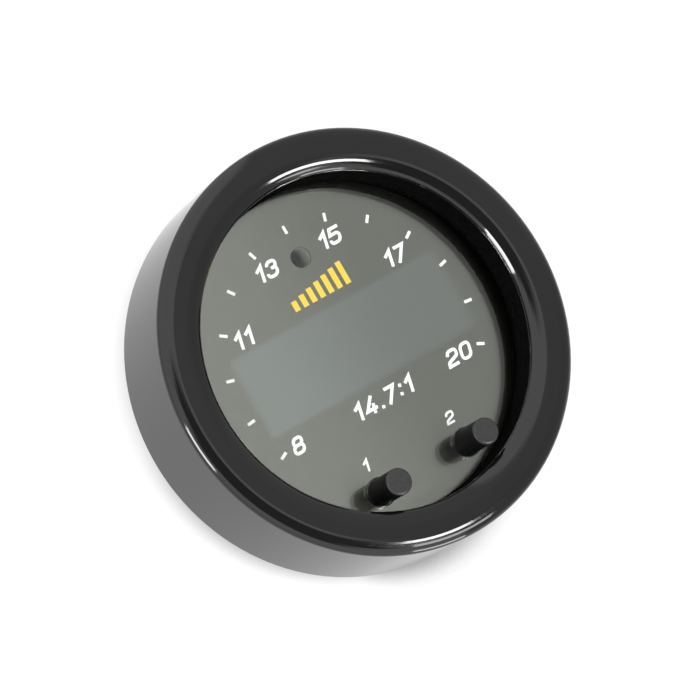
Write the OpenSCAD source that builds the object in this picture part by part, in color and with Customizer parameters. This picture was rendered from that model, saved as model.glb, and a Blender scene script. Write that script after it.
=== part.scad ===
// Slim round air fuel ratio gauge for a dash panel, with two push buttons on its face.
// Every piece is modelled with its own axis along +Z, towards the viewer, and facing()
// then turns it so that the face looks along -Y and the top of the dial points up +Z.
// The origin is on the gauge's axis, in the plane where the shoulder meets the panel.

/* [Bezel] */
// Outside diameter of the bezel
bezel_d = 60; // [58:0.5:68]
// Length from the bezel's front face to the panel
bezel_len = 16.3; // [15.5:0.1:20]
// Width of the front ring, from the throat to the outside
ring_w = 6.1; // [5.9:0.1:7]
// Wall of the bezel's skirt and front
bezel_wall = 1.8; // [1.4:0.1:2.1]
// Wall of the throat tube that presses on the lens
throat_wall = 1.6; // [1.2:0.1:1.9]
// Radial width of the rounding at the outer front edge
edge_w = 2; // [1:0.1:2.4]
// Depth of that rounding along the axis
edge_depth = 1.25; // [0.6:0.05:1.6]
// Radial width of the rolled lip inside the front ring
lip_w = 2.4; // [1.2:0.1:3]
// Depth of the rolled lip along the axis
lip_depth = 1.1; // [0.6:0.1:1.6]
// Radius of the fine bead round the throat's foot, on the lens
foot_bead = 0.2; // [0.1:0.05:0.4]
// Radius of the small edge on the skirt's rear
small_round = 0.3; // [0.15:0.05:0.5]
// Number of ribs that stiffen the hollow front ring
rib_count = 12; // [6:1:16]
// Thickness of each rib
rib_t = 1; // [0.6:0.1:1.6]

/* [Housing] */
// Width of the ring that meets the panel, from the spigot to the bezel's outside
seat_w = 4; // [3.7:0.1:4.8]
// Length of the spigot behind the panel's front
spigot_len = 4.7; // [4.4:0.1:6.5]
// Wall of the spigot
spigot_wall = 1.6; // [1.2:0.1:1.8]
// Wall of the collar inside the skirt
collar_wall = 1.8; // [1.3:0.1:2.2]
// Thickness of the shoulder that sits on the panel
shoulder_t = 1.8; // [1.2:0.1:2.2]
// Height of the snap bead that holds the bezel
bead_h = 0.4; // [0.2:0.05:0.6]
// Width of the snap bead along the axis
bead_w = 1.2; // [0.8:0.1:1.6]

/* [Lens and dial] */
// Thickness of the clear lens
lens_t = 0.8; // [0.5:0.1:1.2]
// Thickness of the printed dial film
film_t = 0.25; // [0.15:0.05:0.4]
// Height of the moulded light baffle behind the film
baffle_h = 5; // [4.8:0.1:6]
// Thickness of the baffle's top plate
plate_t = 1.3; // [0.9:0.1:1.6]
// Width of the dial's display window, as a share of the throat's diameter
window_w_share = 0.7322; // [0.63:0.01:0.75]
// Height of the dial's display window, as a share of the throat's diameter
window_h_share = 0.251; // [0.21:0.005:0.27]
// Height of the window's middle above the axis, as a share of the throat's diameter
window_y_share = 0.0136; // [0:0.001:0.02]
// Diameter of the light sensor's hole, as a share of the throat's diameter
sensor_d_share = 0.0628; // [0.05:0.002:0.075]
// Height of the sensor's hole above the axis, as a share of the throat's diameter
sensor_y_share = 0.3033; // [0.29:0.005:0.315]
// Radius of the ring of light emitters, as a share of the throat's diameter
led_ring_share = 0.4456; // [0.44:0.001:0.45]
// Number of light emitters round the scale
led_count = 24; // [16:1:24]
// Angle that the scale sweeps
sweep = 230; // [200:5:236]

/* [Buttons] */
// Diameter of each button, as a share of the throat's diameter
button_d_share = 0.0795; // [0.065:0.001:0.088]
// How far a button stands past the bezel's front face
button_proud = 0.8; // [0.4:0.1:2]
// Distance of each button from the vertical centre line, as such a share
button_x_share = 0.1569; // [0.145:0.002:0.17]
// Distance of each button below the axis, as such a share
button_y_share = 0.3933; // [0.38:0.002:0.4]
// Travel of a button when pressed
button_travel = 0.35; // [0.2:0.05:0.4]
// Radius of the edge round a button's tip
tip_round = 0.3; // [0.1:0.05:0.6]
// Side of the square switch under each button, as such a share
switch_w_share = 0.0941; // [0.085:0.002:0.1]

/* [Circuit board] */
// Height of the board's rear face above the panel
board_lift = 3; // [2.6:0.1:3.6]
// Thickness of the circuit board
pcb_t = 1.6; // [1:0.1:1.8]
// Height of the rear connectors above the axis, as a share of the throat's diameter
plug_y_share = 0.1527; // [0.15:0.001:0.156]
// Outside height of each rear connector, as such a share
plug_h_share = 0.1674; // [0.163:0.001:0.17]
// Spacing of the connector pins, as such a share
pin_pitch_share = 0.0531; // [0.042:0.001:0.0531]
// Number of pins in the power connector
power_pin_count = 4; // [2:1:4]
// Number of pins in the sensor connector
sensor_pin_count = 6; // [4:1:6]

/* [Bracket] */
// Spacing of the two brass inserts, as a share of the throat's diameter
insert_spacing_share = 0.7531; // [0.7:0.01:0.79]
// Distance of the inserts below the axis, as such a share
insert_y_share = 0.0669; // [0.045:0.005:0.08]
// Radius of the hole in each insert, as a share of the insert's outside radius
insert_hole_share = 0.6346; // [0.5:0.01:0.72]
// Length of each insert
insert_len = 4.7; // [3:0.1:5.4]

/* [Hidden] */
$fn = 96;

// Clearances and shared small sizes
cut = 0.5;
film_gap = 0.05;
skirt_gap = 0.2;
bezel_lift = 0.1;
lens_gap = 0.15;
lens_lap = 0.9;
gasket_gap = 0.1;
press_gap = 0.03;
slip_gap = 0.08;
hole_gap = 0.2;
drop_gap = 0.3;
stop_gap = 0.1;
contact_gap = 0.05;
arc_steps = 10;

// The bezel's radii
bezel_r = bezel_d / 2;
throat_r = bezel_r - ring_w;
throat_d = 2 * throat_r;
// The throat that the inner parts' sizes are given for, and how much larger this one is
made_throat_d = 47.8;
inner = throat_d / made_throat_d;

// Sizes across the face that follow the throat
window_w = window_w_share * throat_d;
window_h = window_h_share * throat_d;
window_y = window_y_share * throat_d;
sensor_d = sensor_d_share * throat_d;
sensor_y = sensor_y_share * throat_d;
led_ring_r = led_ring_share * throat_d;
button_d = button_d_share * throat_d;
button_x = button_x_share * throat_d;
button_y = button_y_share * throat_d;
switch_w = switch_w_share * throat_d;
plug_y = plug_y_share * throat_d;
plug_h = plug_h_share * throat_d;
pin_pitch = pin_pitch_share * throat_d;
insert_spacing = insert_spacing_share * throat_d;
insert_y = insert_y_share * throat_d;

// Heights of the stack above the panel, from the board up to the lens
board_low_z = board_lift;
board_top_z = board_low_z + pcb_t;
film_low_z = board_top_z + baffle_h;
film_top_z = film_low_z + film_t;
lens_low_z = film_top_z + film_gap;
lens_top_z = lens_low_z + lens_t;
plate_low_z = film_low_z - plate_t;

// Bezel
throat_out_r = throat_r + throat_wall;
skirt_in_r = bezel_r - bezel_wall;
front_under_z = bezel_len - bezel_wall;
bead_gap = 0.12;
bead_z = shoulder_t + bead_gap;
rib_z = lens_top_z + hole_gap;

// Housing
collar_r = skirt_in_r - skirt_gap;
collar_in_r = collar_r - collar_wall;
lens_r = throat_out_r + lens_lap;
ledge_w = 1.2;
ledge_r = lens_r - ledge_w;
ledge_t = 1.4;
gasket_t = 0.6;
ledge_z = lens_low_z - gasket_t;
spigot_r = bezel_r - seat_w;
spigot_in_r = spigot_r - spigot_wall;
spigot_lead = 0.4;

// Discs of the dial stack
film_r = ledge_r - gasket_gap;
baffle_r = film_r - gasket_gap;
baffle_rim = 1.5;
board_r = baffle_r - gasket_gap;

// Rear cover and its screws
cover_t = 1.5;
cover_low_z = -spigot_len;
cover_top_z = cover_low_z + cover_t;
cover_r = spigot_in_r - gasket_gap;
screw_r = 0.95 * inner;
screw_head_r = 1.5 * inner;
screw_head_h = 1.1;
screw_margin = 0.5;
cover_screw_ring = cover_r - screw_head_r - screw_margin;
cover_screw_angles = [90, 210, 330];
cover_boss_r = 2.4 * inner;
cover_boss_top_z = shoulder_t;
cover_screw_len = 5.2;
slot_w = 0.4 * inner;
slot_depth = 0.55;
board_boss_r = 1.9 * inner;
board_screw_len = 5.4;
board_screw_gap = 0.14;
board_screw_angles = [46.8, 133.2, 224, 316];
insert_r = 2.6 * inner;
insert_hole_r = insert_hole_share * insert_r;
insert_wall = 1.1 * inner;
insert_cap = 0.5;
insert_room = 0.8;
insert_groove = 0.3 * inner;
insert_groove_shares = [0.4, 0.44, 0.56, 0.6];

// Display and light emitters
diffuser_t = 0.5;
diffuser_side = 0.2 * inner;
diffuser_over = 1 * inner;
display_inset = 0.7 * inner;
diffuser_w = window_w + 2 * diffuser_side;
diffuser_h = window_h + 2 * diffuser_over;
display_w = window_w - 2 * display_inset;
display_h = window_h + diffuser_side;
segment_t = 0.1;
segment_w = 1.1 * inner;
segment_gap = 0.3 * inner;
display_top_z = film_low_z - diffuser_t - stop_gap - segment_t;
digit_count = 4;
digit_h_share = 0.76;
digit_w_share = 0.5;
digit_h = display_h * digit_h_share;
digit_w = digit_h * digit_w_share;
digit_step = display_w / digit_count;
digit_slant = 8;
frame_wall = 0.8 * inner;
led_long = 1.6 * inner;
led_wide = 1.2 * inner;
led_tall = 0.65;
led_lens_r = 0.4 * inner;
led_step = sweep / (led_count - 1);
led_first = 90 - sweep / 2;
tunnel_gap = 0.2 * inner;
tunnel_wall = 0.4 * inner;
tunnel_in_r = led_ring_r - led_wide / 2 - tunnel_gap - tunnel_wall;
tunnel_out_r = led_ring_r + led_wide / 2 + tunnel_gap + tunnel_wall;
tunnel_end = 7;
board_screw_ring = tunnel_in_r - screw_head_r - board_screw_gap * inner;
sensor_wall = 0.9 * inner;
sensor_body = [2 * inner, 1.25 * inner, 0.8];

// Buttons and switches
button_r = button_d / 2;
tip_z = bezel_len + button_proud;
flange_step = 0.8 * inner;
guide_wall = 1.3 * inner;
flange_r = button_r + flange_step;
flange_t = 0.9;
flange_top_z = plate_low_z - stop_gap;
flange_low_z = flange_top_z - flange_t;
pocket_r = flange_r + drop_gap;
button_boss_r = pocket_r + guide_wall;
switch_t = 1.6;
switch_top_z = board_top_z + switch_t;
switch_skin = 0.35;
switch_side = 0.525 * inner;
switch_void_w = switch_w - 2 * switch_side;
plunger_room = 0.125;
plunger_step = 0.3 * inner;
plunger_collar_r = switch_void_w / 2 - plunger_room;
plunger_r = plunger_collar_r - plunger_step;
plunger_collar_t = switch_t - 2 * switch_skin - contact_gap - button_travel - stop_gap;
plunger_top_z = flange_low_z - contact_gap;

// Rear connectors and their pins
plug_wall = 0.8 * inner;
plug_end_wall = 1.1 * inner;
plug_floor = 1.5;
plug_end_room = 1.6 * inner;
pin_w = 0.64 * inner;
pin_rise = 2 * inner;
pin_proud = 1;
pin_setback = 1.5;
pin_hole_r = 0.5 * inner;
plug_split = 1 * inner;
power_w = (power_pin_count - 1) * pin_pitch + 2 * plug_end_room + 2 * plug_end_wall;
sensor_w = (sensor_pin_count - 1) * pin_pitch + 2 * plug_end_room + 2 * plug_end_wall;
plug_mid_x = -2.55 * inner;
power_x = plug_mid_x - plug_split - power_w / 2;
sensor_x = plug_mid_x + plug_split + sensor_w / 2;
key_w = 1.2 * inner;
key_h = 0.5 * inner;

// Parts on the rear of the board, as shares of the board's radius
chip_shares = [0, -0.13];
driver_shares = [-0.385, -0.16];
regulator_shares = [0.385, -0.16];
inductor_shares = [0.32, -0.5];
can_shares = [[-0.3, -0.516], [0.008, -0.54]];
chip_cap_shares = [[-0.23, -0.02], [0.23, -0.02], [-0.23, -0.29], [0.23, -0.29], [0, -0.35]];
crystal_shares = [0, -0.79];
chip_w = 8.4 * inner;
chip_t = 1.2;
lead_w = 0.35 * inner;
lead_t = 0.25;
lead_len = 0.8 * inner;
lead_pitch = 1.2 * inner;
lead_count = 6;
driver_size = [4 * inner, 6 * inner, 1.4];
regulator_size = [6 * inner, 6 * inner, 2.3];
regulator_tab = [5 * inner, 2 * inner, 0.5];
inductor_w = 6 * inner;
inductor_t = 3;
inductor_base_t = 0.75;
inductor_can_r = 2.76 * inner;
can_r = 3 * inner;
can_h = 5.1;
can_foot = 0.8;
can_groove = 0.25;
can_groove_shares = [0.62, 0.66, 0.7, 0.74];
chip_cap_size = [1.6 * inner, 0.9 * inner, 0.8];
crystal_size = [5 * inner, 3.2 * inner, 1.2];

function arc(mid, rx, ry, from, to) =
    [for (i = [0:arc_steps]) let (a = from + (to - from) * i / arc_steps)
        [mid[0] + rx * cos(a), mid[1] + ry * sin(a)]];
function spot(shares) = [for (s = shares) s * board_r];

// Turns a piece from its own +Z axis to face the viewer along -Y
module facing() {
    rotate([90, 0, 0]) children();
}

// A block centred in X and Y that starts at height z
module block(size, z) {
    translate([-size[0] / 2, -size[1] / 2, z]) cube(size);
}

// A plain disc or ring between two heights
module ring(out_r, in_r, low_z, high_z) {
    translate([0, 0, low_z]) difference() {
        cylinder(r = out_r, h = high_z - low_z);
        if (in_r > 0) translate([0, 0, -cut]) cylinder(r = in_r, h = high_z - low_z + 2 * cut);
    }
}

module bezel_profile() {
    polygon(concat(
        arc([throat_r, lens_top_z], foot_bead, foot_bead, 180, 90),
        arc([throat_r + lip_w, bezel_len - lip_depth], lip_w, lip_depth, 180, 90),
        arc([bezel_r - edge_w, bezel_len - edge_depth], edge_w, edge_depth, 90, 0),
        arc([bezel_r - small_round, bezel_lift + small_round], small_round, small_round, 0, -90),
        [[skirt_in_r, bezel_lift],
         [skirt_in_r, bead_z - bead_gap],
         [skirt_in_r + bead_h, bead_z - bead_gap],
         [skirt_in_r + bead_h, bead_z + bead_w + bead_gap],
         [skirt_in_r, bead_z + bead_w + bead_gap],
         [skirt_in_r, front_under_z],
         [throat_out_r, front_under_z],
         [throat_out_r, lens_top_z]]));
}

module bezel() {
    color("#1c1c1c") facing() union() {
        rotate_extrude() bezel_profile();
        for (i = [0:rib_count - 1]) rotate([0, 0, i * 360 / rib_count])
            translate([throat_out_r - throat_wall / 2, -rib_t / 2, rib_z])
                cube([skirt_in_r - throat_out_r + (throat_wall + bezel_wall) / 2, rib_t,
                    front_under_z - rib_z + bezel_wall / 2]);
    }
}

module housing_profile() {
    polygon([
        [spigot_in_r, cover_low_z],
        [spigot_r - spigot_lead, cover_low_z],
        [spigot_r, cover_low_z + spigot_lead],
        [spigot_r, 0],
        [collar_r, 0],
        [collar_r, bead_z],
        [collar_r + bead_h, bead_z + bead_w / 3],
        [collar_r + bead_h, bead_z + bead_w * 2 / 3],
        [collar_r, bead_z + bead_w],
        [collar_r, lens_top_z],
        [lens_r + lens_gap, lens_top_z],
        [lens_r + lens_gap, ledge_z],
        [ledge_r, ledge_z],
        [ledge_r, ledge_z - ledge_t],
        [collar_in_r, ledge_z - ledge_t - (collar_in_r - ledge_r)],
        [collar_in_r, shoulder_t],
        [spigot_in_r, shoulder_t]]);
}

// Places its children at each cover screw
module at_cover_screws() {
    for (a = cover_screw_angles) rotate([0, 0, a]) translate([cover_screw_ring, 0, 0]) children();
}

// Places its children at each board screw
module at_board_screws() {
    for (a = board_screw_angles) rotate([0, 0, a]) translate([board_screw_ring, 0, 0]) children();
}

// Places its children at each bracket insert
module at_inserts() {
    for (side = [-1, 1]) translate([side * insert_spacing / 2, -insert_y, 0]) children();
}

module housing() {
    color("#262626") facing() difference() {
        union() {
            rotate_extrude() housing_profile();
            at_cover_screws() ring(cover_boss_r, 0, cover_top_z, cover_boss_top_z);
        }
        at_cover_screws() translate([0, 0, cover_top_z - cut])
            cylinder(r = screw_r + contact_gap, h = cover_screw_len - cover_t + 2 * cut);
    }
}

// Outline of a countersunk screw, or of its hole when gap is the clearance
module countersunk(length, gap) {
    rotate_extrude() polygon([
        [0, 0],
        [screw_head_r + gap, 0],
        [screw_r + gap, screw_head_h],
        [screw_r + gap, length],
        [0, length]]);
}

module rear_cover() {
    color("#303030") facing() difference() {
        union() {
            ring(cover_r, 0, cover_low_z, cover_top_z);
            at_board_screws() ring(board_boss_r, 0, cover_top_z - cover_t / 2, board_low_z);
            at_inserts() ring(insert_r + insert_wall, 0, cover_top_z - cover_t / 2,
                cover_low_z + insert_len + insert_room + insert_cap);
        }
        at_board_screws() translate([0, 0, board_low_z - board_screw_len + pcb_t])
            cylinder(r = screw_r + contact_gap, h = board_screw_len);
        at_inserts() translate([0, 0, cover_low_z - cut]) {
            cylinder(r = insert_r + press_gap, h = insert_len + cut);
            cylinder(r = insert_hole_r + hole_gap, h = insert_len + insert_room + cut);
        }
        at_cover_screws() translate([0, 0, cover_low_z]) {
            countersunk(cover_t + cut, contact_gap);
            mirror([0, 0, 1]) cylinder(r = screw_head_r + contact_gap, h = cut);
        }
        translate([power_x, plug_y, 0])
            block([power_w + 2 * hole_gap, plug_h + 2 * hole_gap, cover_t + 2 * cut], cover_low_z - cut);
        translate([sensor_x, plug_y, 0])
            block([sensor_w + 2 * hole_gap, plug_h + 2 * hole_gap, cover_t + 2 * cut], cover_low_z - cut);
    }
}

// Places its children on each button's axis
module at_button(side) {
    translate([side * button_x, -button_y, 0]) children();
}

module button_holes(r, low_z, high_z) {
    for (side = [-1, 1]) at_button(side)
        translate([0, 0, low_z - cut]) cylinder(r = r, h = high_z - low_z + 2 * cut);
}

module face_lens() {
    color([0.35, 0.37, 0.36, 0.45]) facing() difference() {
        ring(lens_r, 0, lens_low_z, lens_top_z);
        button_holes(button_r + hole_gap, lens_low_z, lens_top_z);
    }
}

module lens_gasket() {
    color("#101010") facing() ring(lens_r - gasket_gap, ledge_r + gasket_gap, ledge_z, lens_low_z);
}

module dial_film() {
    color("#3a3c3a") facing() difference() {
        ring(film_r, 0, film_low_z, film_top_z);
        button_holes(button_r + hole_gap + contact_gap, film_low_z, film_top_z);
        translate([0, sensor_y, film_low_z - cut]) cylinder(r = sensor_d / 2, h = film_t + 2 * cut);
    }
}

// Places its children at each light emitter, with +X pointing outwards
module at_leds() {
    for (i = [0:led_count - 1]) rotate([0, 0, led_first + i * led_step])
        translate([led_ring_r, 0, 0]) children();
}

module light_baffle() {
    color("#e8e8e4") facing() difference() {
        union() {
            ring(baffle_r, 0, plate_low_z, film_low_z);
            ring(baffle_r, baffle_r - baffle_rim, board_top_z, film_low_z);
            rotate([0, 0, led_first - tunnel_end]) rotate_extrude(angle = sweep + 2 * tunnel_end)
                translate([tunnel_in_r, board_top_z + contact_gap])
                    square([tunnel_out_r - tunnel_in_r, plate_low_z + plate_t / 2 - board_top_z]);
            translate([0, window_y, 0])
                block([diffuser_w + 2 * frame_wall, diffuser_h + 2 * frame_wall,
                    film_low_z - board_top_z - contact_gap], board_top_z + contact_gap);
            for (side = [-1, 1]) at_button(side)
                ring(button_boss_r, 0, board_top_z + contact_gap, plate_low_z + plate_t / 2);
            translate([0, sensor_y, 0])
                ring(sensor_d / 2 + sensor_wall, 0, board_top_z + sensor_body[2] + hole_gap,
                    plate_low_z + plate_t / 2);
        }
        at_leds() block([led_wide + 2 * tunnel_gap, led_long + 2 * tunnel_gap, baffle_h + 2 * cut],
            board_top_z - cut);
        translate([0, window_y, 0]) {
            block([diffuser_w + 2 * stop_gap, diffuser_h + 2 * stop_gap, diffuser_t + cut],
                film_low_z - diffuser_t);
            block([display_w + 2 * drop_gap, display_h + 2 * drop_gap, baffle_h + cut], board_top_z - cut);
        }
        button_holes(button_r + slip_gap, board_top_z, film_low_z);
        for (side = [-1, 1]) at_button(side) {
            ring(pocket_r, 0, board_top_z - cut, plate_low_z);
            block([switch_w + 2 * hole_gap, switch_w + 2 * hole_gap, switch_t + drop_gap + cut],
                board_top_z - cut);
        }
        translate([0, sensor_y, board_top_z]) cylinder(r = sensor_d / 2, h = baffle_h + cut);
    }
}

module window_diffuser() {
    color("#8f958f") facing() translate([0, window_y, 0])
        block([diffuser_w, diffuser_h, diffuser_t], film_low_z - diffuser_t);
}

module led_display() {
    color("#2b2d2c") facing() translate([0, window_y, 0])
        block([display_w, display_h, display_top_z - board_top_z], board_top_z);
}

// One segment, a bar with pointed ends, of the given length along X
module segment(length) {
    half = segment_w / 2;
    polygon([[-length / 2, 0], [half - length / 2, half], [length / 2 - half, half],
        [length / 2, 0], [length / 2 - half, -half], [half - length / 2, -half]]);
}

module digit() {
    upright = digit_h / 2 - segment_gap;
    level = digit_w - segment_gap;
    shear = tan(digit_slant);
    for (y = [-1, 0, 1]) translate([y * digit_h / 2 * shear, y * digit_h / 2])
        segment(level);
    for (x = [-1, 1], y = [-1, 1])
        translate([x * digit_w / 2 + y * digit_h / 4 * shear, y * digit_h / 4])
            rotate(90 - digit_slant) segment(upright);
}

module display_segments() {
    color("#c9cbc4") facing() translate([0, window_y, display_top_z]) linear_extrude(segment_t)
        for (i = [0:digit_count - 1]) translate([(i + 0.5 - digit_count / 2) * digit_step, 0]) {
            digit();
            translate([digit_step / 2 - segment_w / 2, -digit_h / 2]) circle(r = segment_w / 2);
        }
}

module scale_leds() {
    color("#f0efe6") facing() at_leds() union() {
        block([led_wide, led_long, led_tall], board_top_z);
        translate([0, 0, board_top_z]) cylinder(r = led_lens_r, h = led_tall + contact_gap);
    }
}

module light_sensor() {
    color("#d8d4c0") facing() translate([0, sensor_y, 0]) block(sensor_body, board_top_z);
}

module plug_pin_places(count) {
    for (i = [0:count - 1]) translate([(i - (count - 1) / 2) * pin_pitch, pin_rise, 0]) children();
}

module main_board() {
    color("#1f5a34") facing() difference() {
        ring(board_r, 0, board_low_z, board_top_z);
        at_board_screws() translate([0, 0, board_low_z - cut])
            cylinder(r = screw_r + hole_gap, h = pcb_t + 2 * cut);
        for (side = [[power_x, power_pin_count], [sensor_x, sensor_pin_count]])
            translate([side[0], plug_y, 0]) plug_pin_places(side[1])
                translate([0, 0, board_low_z - cut]) cylinder(r = pin_hole_r, h = pcb_t + 2 * cut);
    }
}

// A flat package of the given size that hangs under the board
module under_board(size, shares) {
    translate(spot(shares)) block(size, board_low_z - size[2]);
}

module microcontroller() {
    color("#1a1a1c") facing() translate(spot(chip_shares)) {
        block([chip_w, chip_w, chip_t], board_low_z - chip_t - lead_t / 2);
        for (turn = [0:3], i = [0:lead_count - 1]) rotate([0, 0, turn * 90])
            translate([chip_w / 2 - lead_len / 4, (i - (lead_count - 1) / 2) * lead_pitch - lead_w / 2,
                board_low_z - lead_t])
                cube([lead_len, lead_w, lead_t]);
    }
}

module led_driver() {
    color("#1c1c1e") facing() union() {
        under_board(driver_size, driver_shares);
        translate(spot(driver_shares)) for (side = [-1, 1], i = [0:3])
            translate([side * driver_size[0] / 2, (i - 1.5) * lead_pitch, 0])
                block([lead_len, lead_w, lead_t], board_low_z - lead_t);
    }
}

module voltage_regulator() {
    color("#202022") facing() union() {
        under_board(regulator_size, regulator_shares);
        translate(spot(regulator_shares)) translate([0, regulator_size[1] / 2, 0])
            block(regulator_tab, board_low_z - regulator_tab[2]);
    }
}

module inductor() {
    color("#3b3b3f") facing() translate(spot(inductor_shares)) union() {
        block([inductor_w, inductor_w, inductor_base_t], board_low_z - inductor_base_t);
        ring(inductor_can_r, 0, board_low_z - inductor_t, board_low_z);
    }
}

module capacitors() {
    color("#b9bcc2") facing() {
        for (s = can_shares) translate(spot(s)) union() {
            block([2 * can_r, 2 * can_r, can_foot], board_low_z - can_foot);
            translate([0, 0, board_low_z - can_h]) rotate_extrude() polygon([
                [0, 0],
                [can_r, 0],
                [can_r, can_h * can_groove_shares[0]],
                [can_r - can_groove, can_h * can_groove_shares[1]],
                [can_r - can_groove, can_h * can_groove_shares[2]],
                [can_r, can_h * can_groove_shares[3]],
                [can_r, can_h],
                [0, can_h]]);
        }
        for (s = chip_cap_shares) under_board(chip_cap_size, s);
    }
}

module crystal() {
    color("#c3c6c9") facing() under_board(crystal_size, crystal_shares);
}

// A push button: a stem with a rounded tip and a flange that stops under the baffle's plate
module push_button(side) {
    color("#161616") facing() at_button(side) rotate_extrude() polygon(concat(
        [[0, flange_low_z], [flange_r, flange_low_z], [flange_r, flange_top_z], [button_r, flange_top_z]],
        arc([button_r - tip_round, tip_z - tip_round], tip_round, tip_round, 0, 90),
        [[0, tip_z]]));
}

module mode_button() {
    push_button(-1);
}

module select_button() {
    push_button(1);
}

// The switch body: a square box with a void for the plunger's collar
module switch_body(side) {
    color("#2a2a2a") facing() at_button(side) difference() {
        block([switch_w, switch_w, switch_t], board_top_z);
        block([switch_void_w, switch_void_w, switch_t - 2 * switch_skin], board_top_z + switch_skin);
        ring(plunger_r + slip_gap, 0, switch_top_z - switch_skin - contact_gap, switch_top_z + cut);
    }
}

module mode_switch() {
    switch_body(-1);
}

module select_switch() {
    switch_body(1);
}

// The plunger that a button pushes, kept in the switch by its collar
module plunger(side) {
    collar_top_z = switch_top_z - switch_skin - contact_gap;
    color("#c8c2ae") facing() at_button(side) union() {
        ring(plunger_r, 0, collar_top_z - plunger_collar_t, plunger_top_z);
        ring(plunger_collar_r, 0, collar_top_z - plunger_collar_t, collar_top_z);
    }
}

module mode_plunger() {
    plunger(-1);
}

module select_plunger() {
    plunger(1);
}

// A shrouded connector: an open box behind the board, with keys inside its long wall
module plug_shell(x, width) {
    inner_w = width - 2 * plug_end_wall;
    inner_h = plug_h - 2 * plug_wall;
    mouth_z = cover_low_z;
    facing() translate([x, plug_y, 0]) union() {
        difference() {
            block([width, plug_h, board_low_z - mouth_z], mouth_z);
            block([inner_w, inner_h, board_low_z - plug_floor - mouth_z + cut], mouth_z - cut);
            plug_pin_places(round((inner_w - 2 * plug_end_room) / pin_pitch) + 1)
                block([pin_w + 2 * press_gap, pin_w + 2 * press_gap, plug_floor + 2 * cut],
                    board_low_z - plug_floor - cut);
        }
        for (side = [-1, 1]) translate([side * inner_w / 4, key_h / 2 - inner_h / 2 - contact_gap, 0])
            block([key_w, key_h + 2 * contact_gap, board_low_z - mouth_z - plug_floor / 2], mouth_z);
    }
}

// Square pins from inside a shroud to the front of the board
module plug_pins(x, count) {
    facing() translate([x, plug_y, 0]) plug_pin_places(count)
        block([pin_w, pin_w, board_top_z + pin_proud - cover_low_z - pin_setback],
            cover_low_z + pin_setback);
}

module power_connector() {
    color("#1b1b1d") plug_shell(power_x, power_w);
}

module power_pins() {
    color("#c9a24a") plug_pins(power_x, power_pin_count);
}

module sensor_connector() {
    color("#1b1b1d") plug_shell(sensor_x, sensor_w);
}

module sensor_pins() {
    color("#c9a24a") plug_pins(sensor_x, sensor_pin_count);
}

module bracket_inserts() {
    color("#b08d3e") facing() at_inserts() translate([0, 0, cover_low_z]) rotate_extrude() polygon([
        [insert_hole_r, 0],
        [insert_r, 0],
        [insert_r, insert_len * insert_groove_shares[0]],
        [insert_r - insert_groove, insert_len * insert_groove_shares[1]],
        [insert_r - insert_groove, insert_len * insert_groove_shares[2]],
        [insert_r, insert_len * insert_groove_shares[3]],
        [insert_r, insert_len],
        [insert_hole_r, insert_len]]);
}

// A cross recess that starts at the face z and goes in along +Z
module cross(z, reach) {
    block([reach, slot_w, slot_depth + cut], z - cut);
    block([slot_w, reach, slot_depth + cut], z - cut);
}

module board_screws() {
    color("#9fa3a8") facing() at_board_screws() difference() {
        union() {
            ring(screw_head_r, 0, board_top_z, board_top_z + screw_head_h);
            ring(screw_r, 0, board_top_z - board_screw_len + contact_gap, board_top_z);
        }
        mirror([0, 0, 1]) cross(-board_top_z - screw_head_h, screw_head_r);
    }
}

module cover_screws() {
    color("#8b8e93") facing() at_cover_screws() translate([0, 0, cover_low_z]) difference() {
        countersunk(cover_screw_len, 0);
        cross(0, screw_head_r);
    }
}

bezel();
housing();
rear_cover();
face_lens();
lens_gasket();
dial_film();
light_baffle();
window_diffuser();
led_display();
display_segments();
scale_leds();
light_sensor();
main_board();
microcontroller();
led_driver();
voltage_regulator();
inductor();
capacitors();
crystal();
mode_button();
select_button();
mode_switch();
select_switch();
mode_plunger();
select_plunger();
power_connector();
power_pins();
sensor_connector();
sensor_pins();
bracket_inserts();
board_screws();
cover_screws();
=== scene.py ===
"""Looks of a slim round air fuel ratio gauge that lies on its back on a white table.

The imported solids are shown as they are, in moulded plastic, glass, metal and board materials.
New pieces are the ink of the dial: ticks, numbers and an amber level mark, each a stroke of
ink carried along a path. Lengths are in metres in the row frame, unless a comment says
millimetres: the face looks along -Y, the top of the dial is +Z.
"""

import math

import bpy
import numpy as np
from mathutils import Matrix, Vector


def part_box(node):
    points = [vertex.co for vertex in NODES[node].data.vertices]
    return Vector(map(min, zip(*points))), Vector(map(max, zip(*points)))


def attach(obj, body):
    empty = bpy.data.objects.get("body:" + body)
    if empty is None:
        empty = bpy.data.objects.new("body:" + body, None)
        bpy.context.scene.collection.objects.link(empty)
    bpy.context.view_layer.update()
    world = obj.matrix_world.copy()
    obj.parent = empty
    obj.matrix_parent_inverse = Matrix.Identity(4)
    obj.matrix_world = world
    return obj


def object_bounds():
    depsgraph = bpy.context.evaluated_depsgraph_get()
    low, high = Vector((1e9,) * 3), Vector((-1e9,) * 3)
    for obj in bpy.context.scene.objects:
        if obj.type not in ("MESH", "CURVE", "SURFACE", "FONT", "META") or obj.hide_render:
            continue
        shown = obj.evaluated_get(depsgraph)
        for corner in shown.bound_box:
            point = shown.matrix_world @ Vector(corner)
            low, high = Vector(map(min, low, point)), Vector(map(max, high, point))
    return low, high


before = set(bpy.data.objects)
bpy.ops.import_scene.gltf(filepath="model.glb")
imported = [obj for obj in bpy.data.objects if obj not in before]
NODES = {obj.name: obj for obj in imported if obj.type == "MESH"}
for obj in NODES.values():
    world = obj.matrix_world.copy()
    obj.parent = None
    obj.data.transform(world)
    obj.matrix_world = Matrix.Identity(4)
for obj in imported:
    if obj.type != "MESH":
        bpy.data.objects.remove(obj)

CAD_LOW, CAD_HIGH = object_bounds()
MM = 0.001
CASE = "gauge_case"

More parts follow.
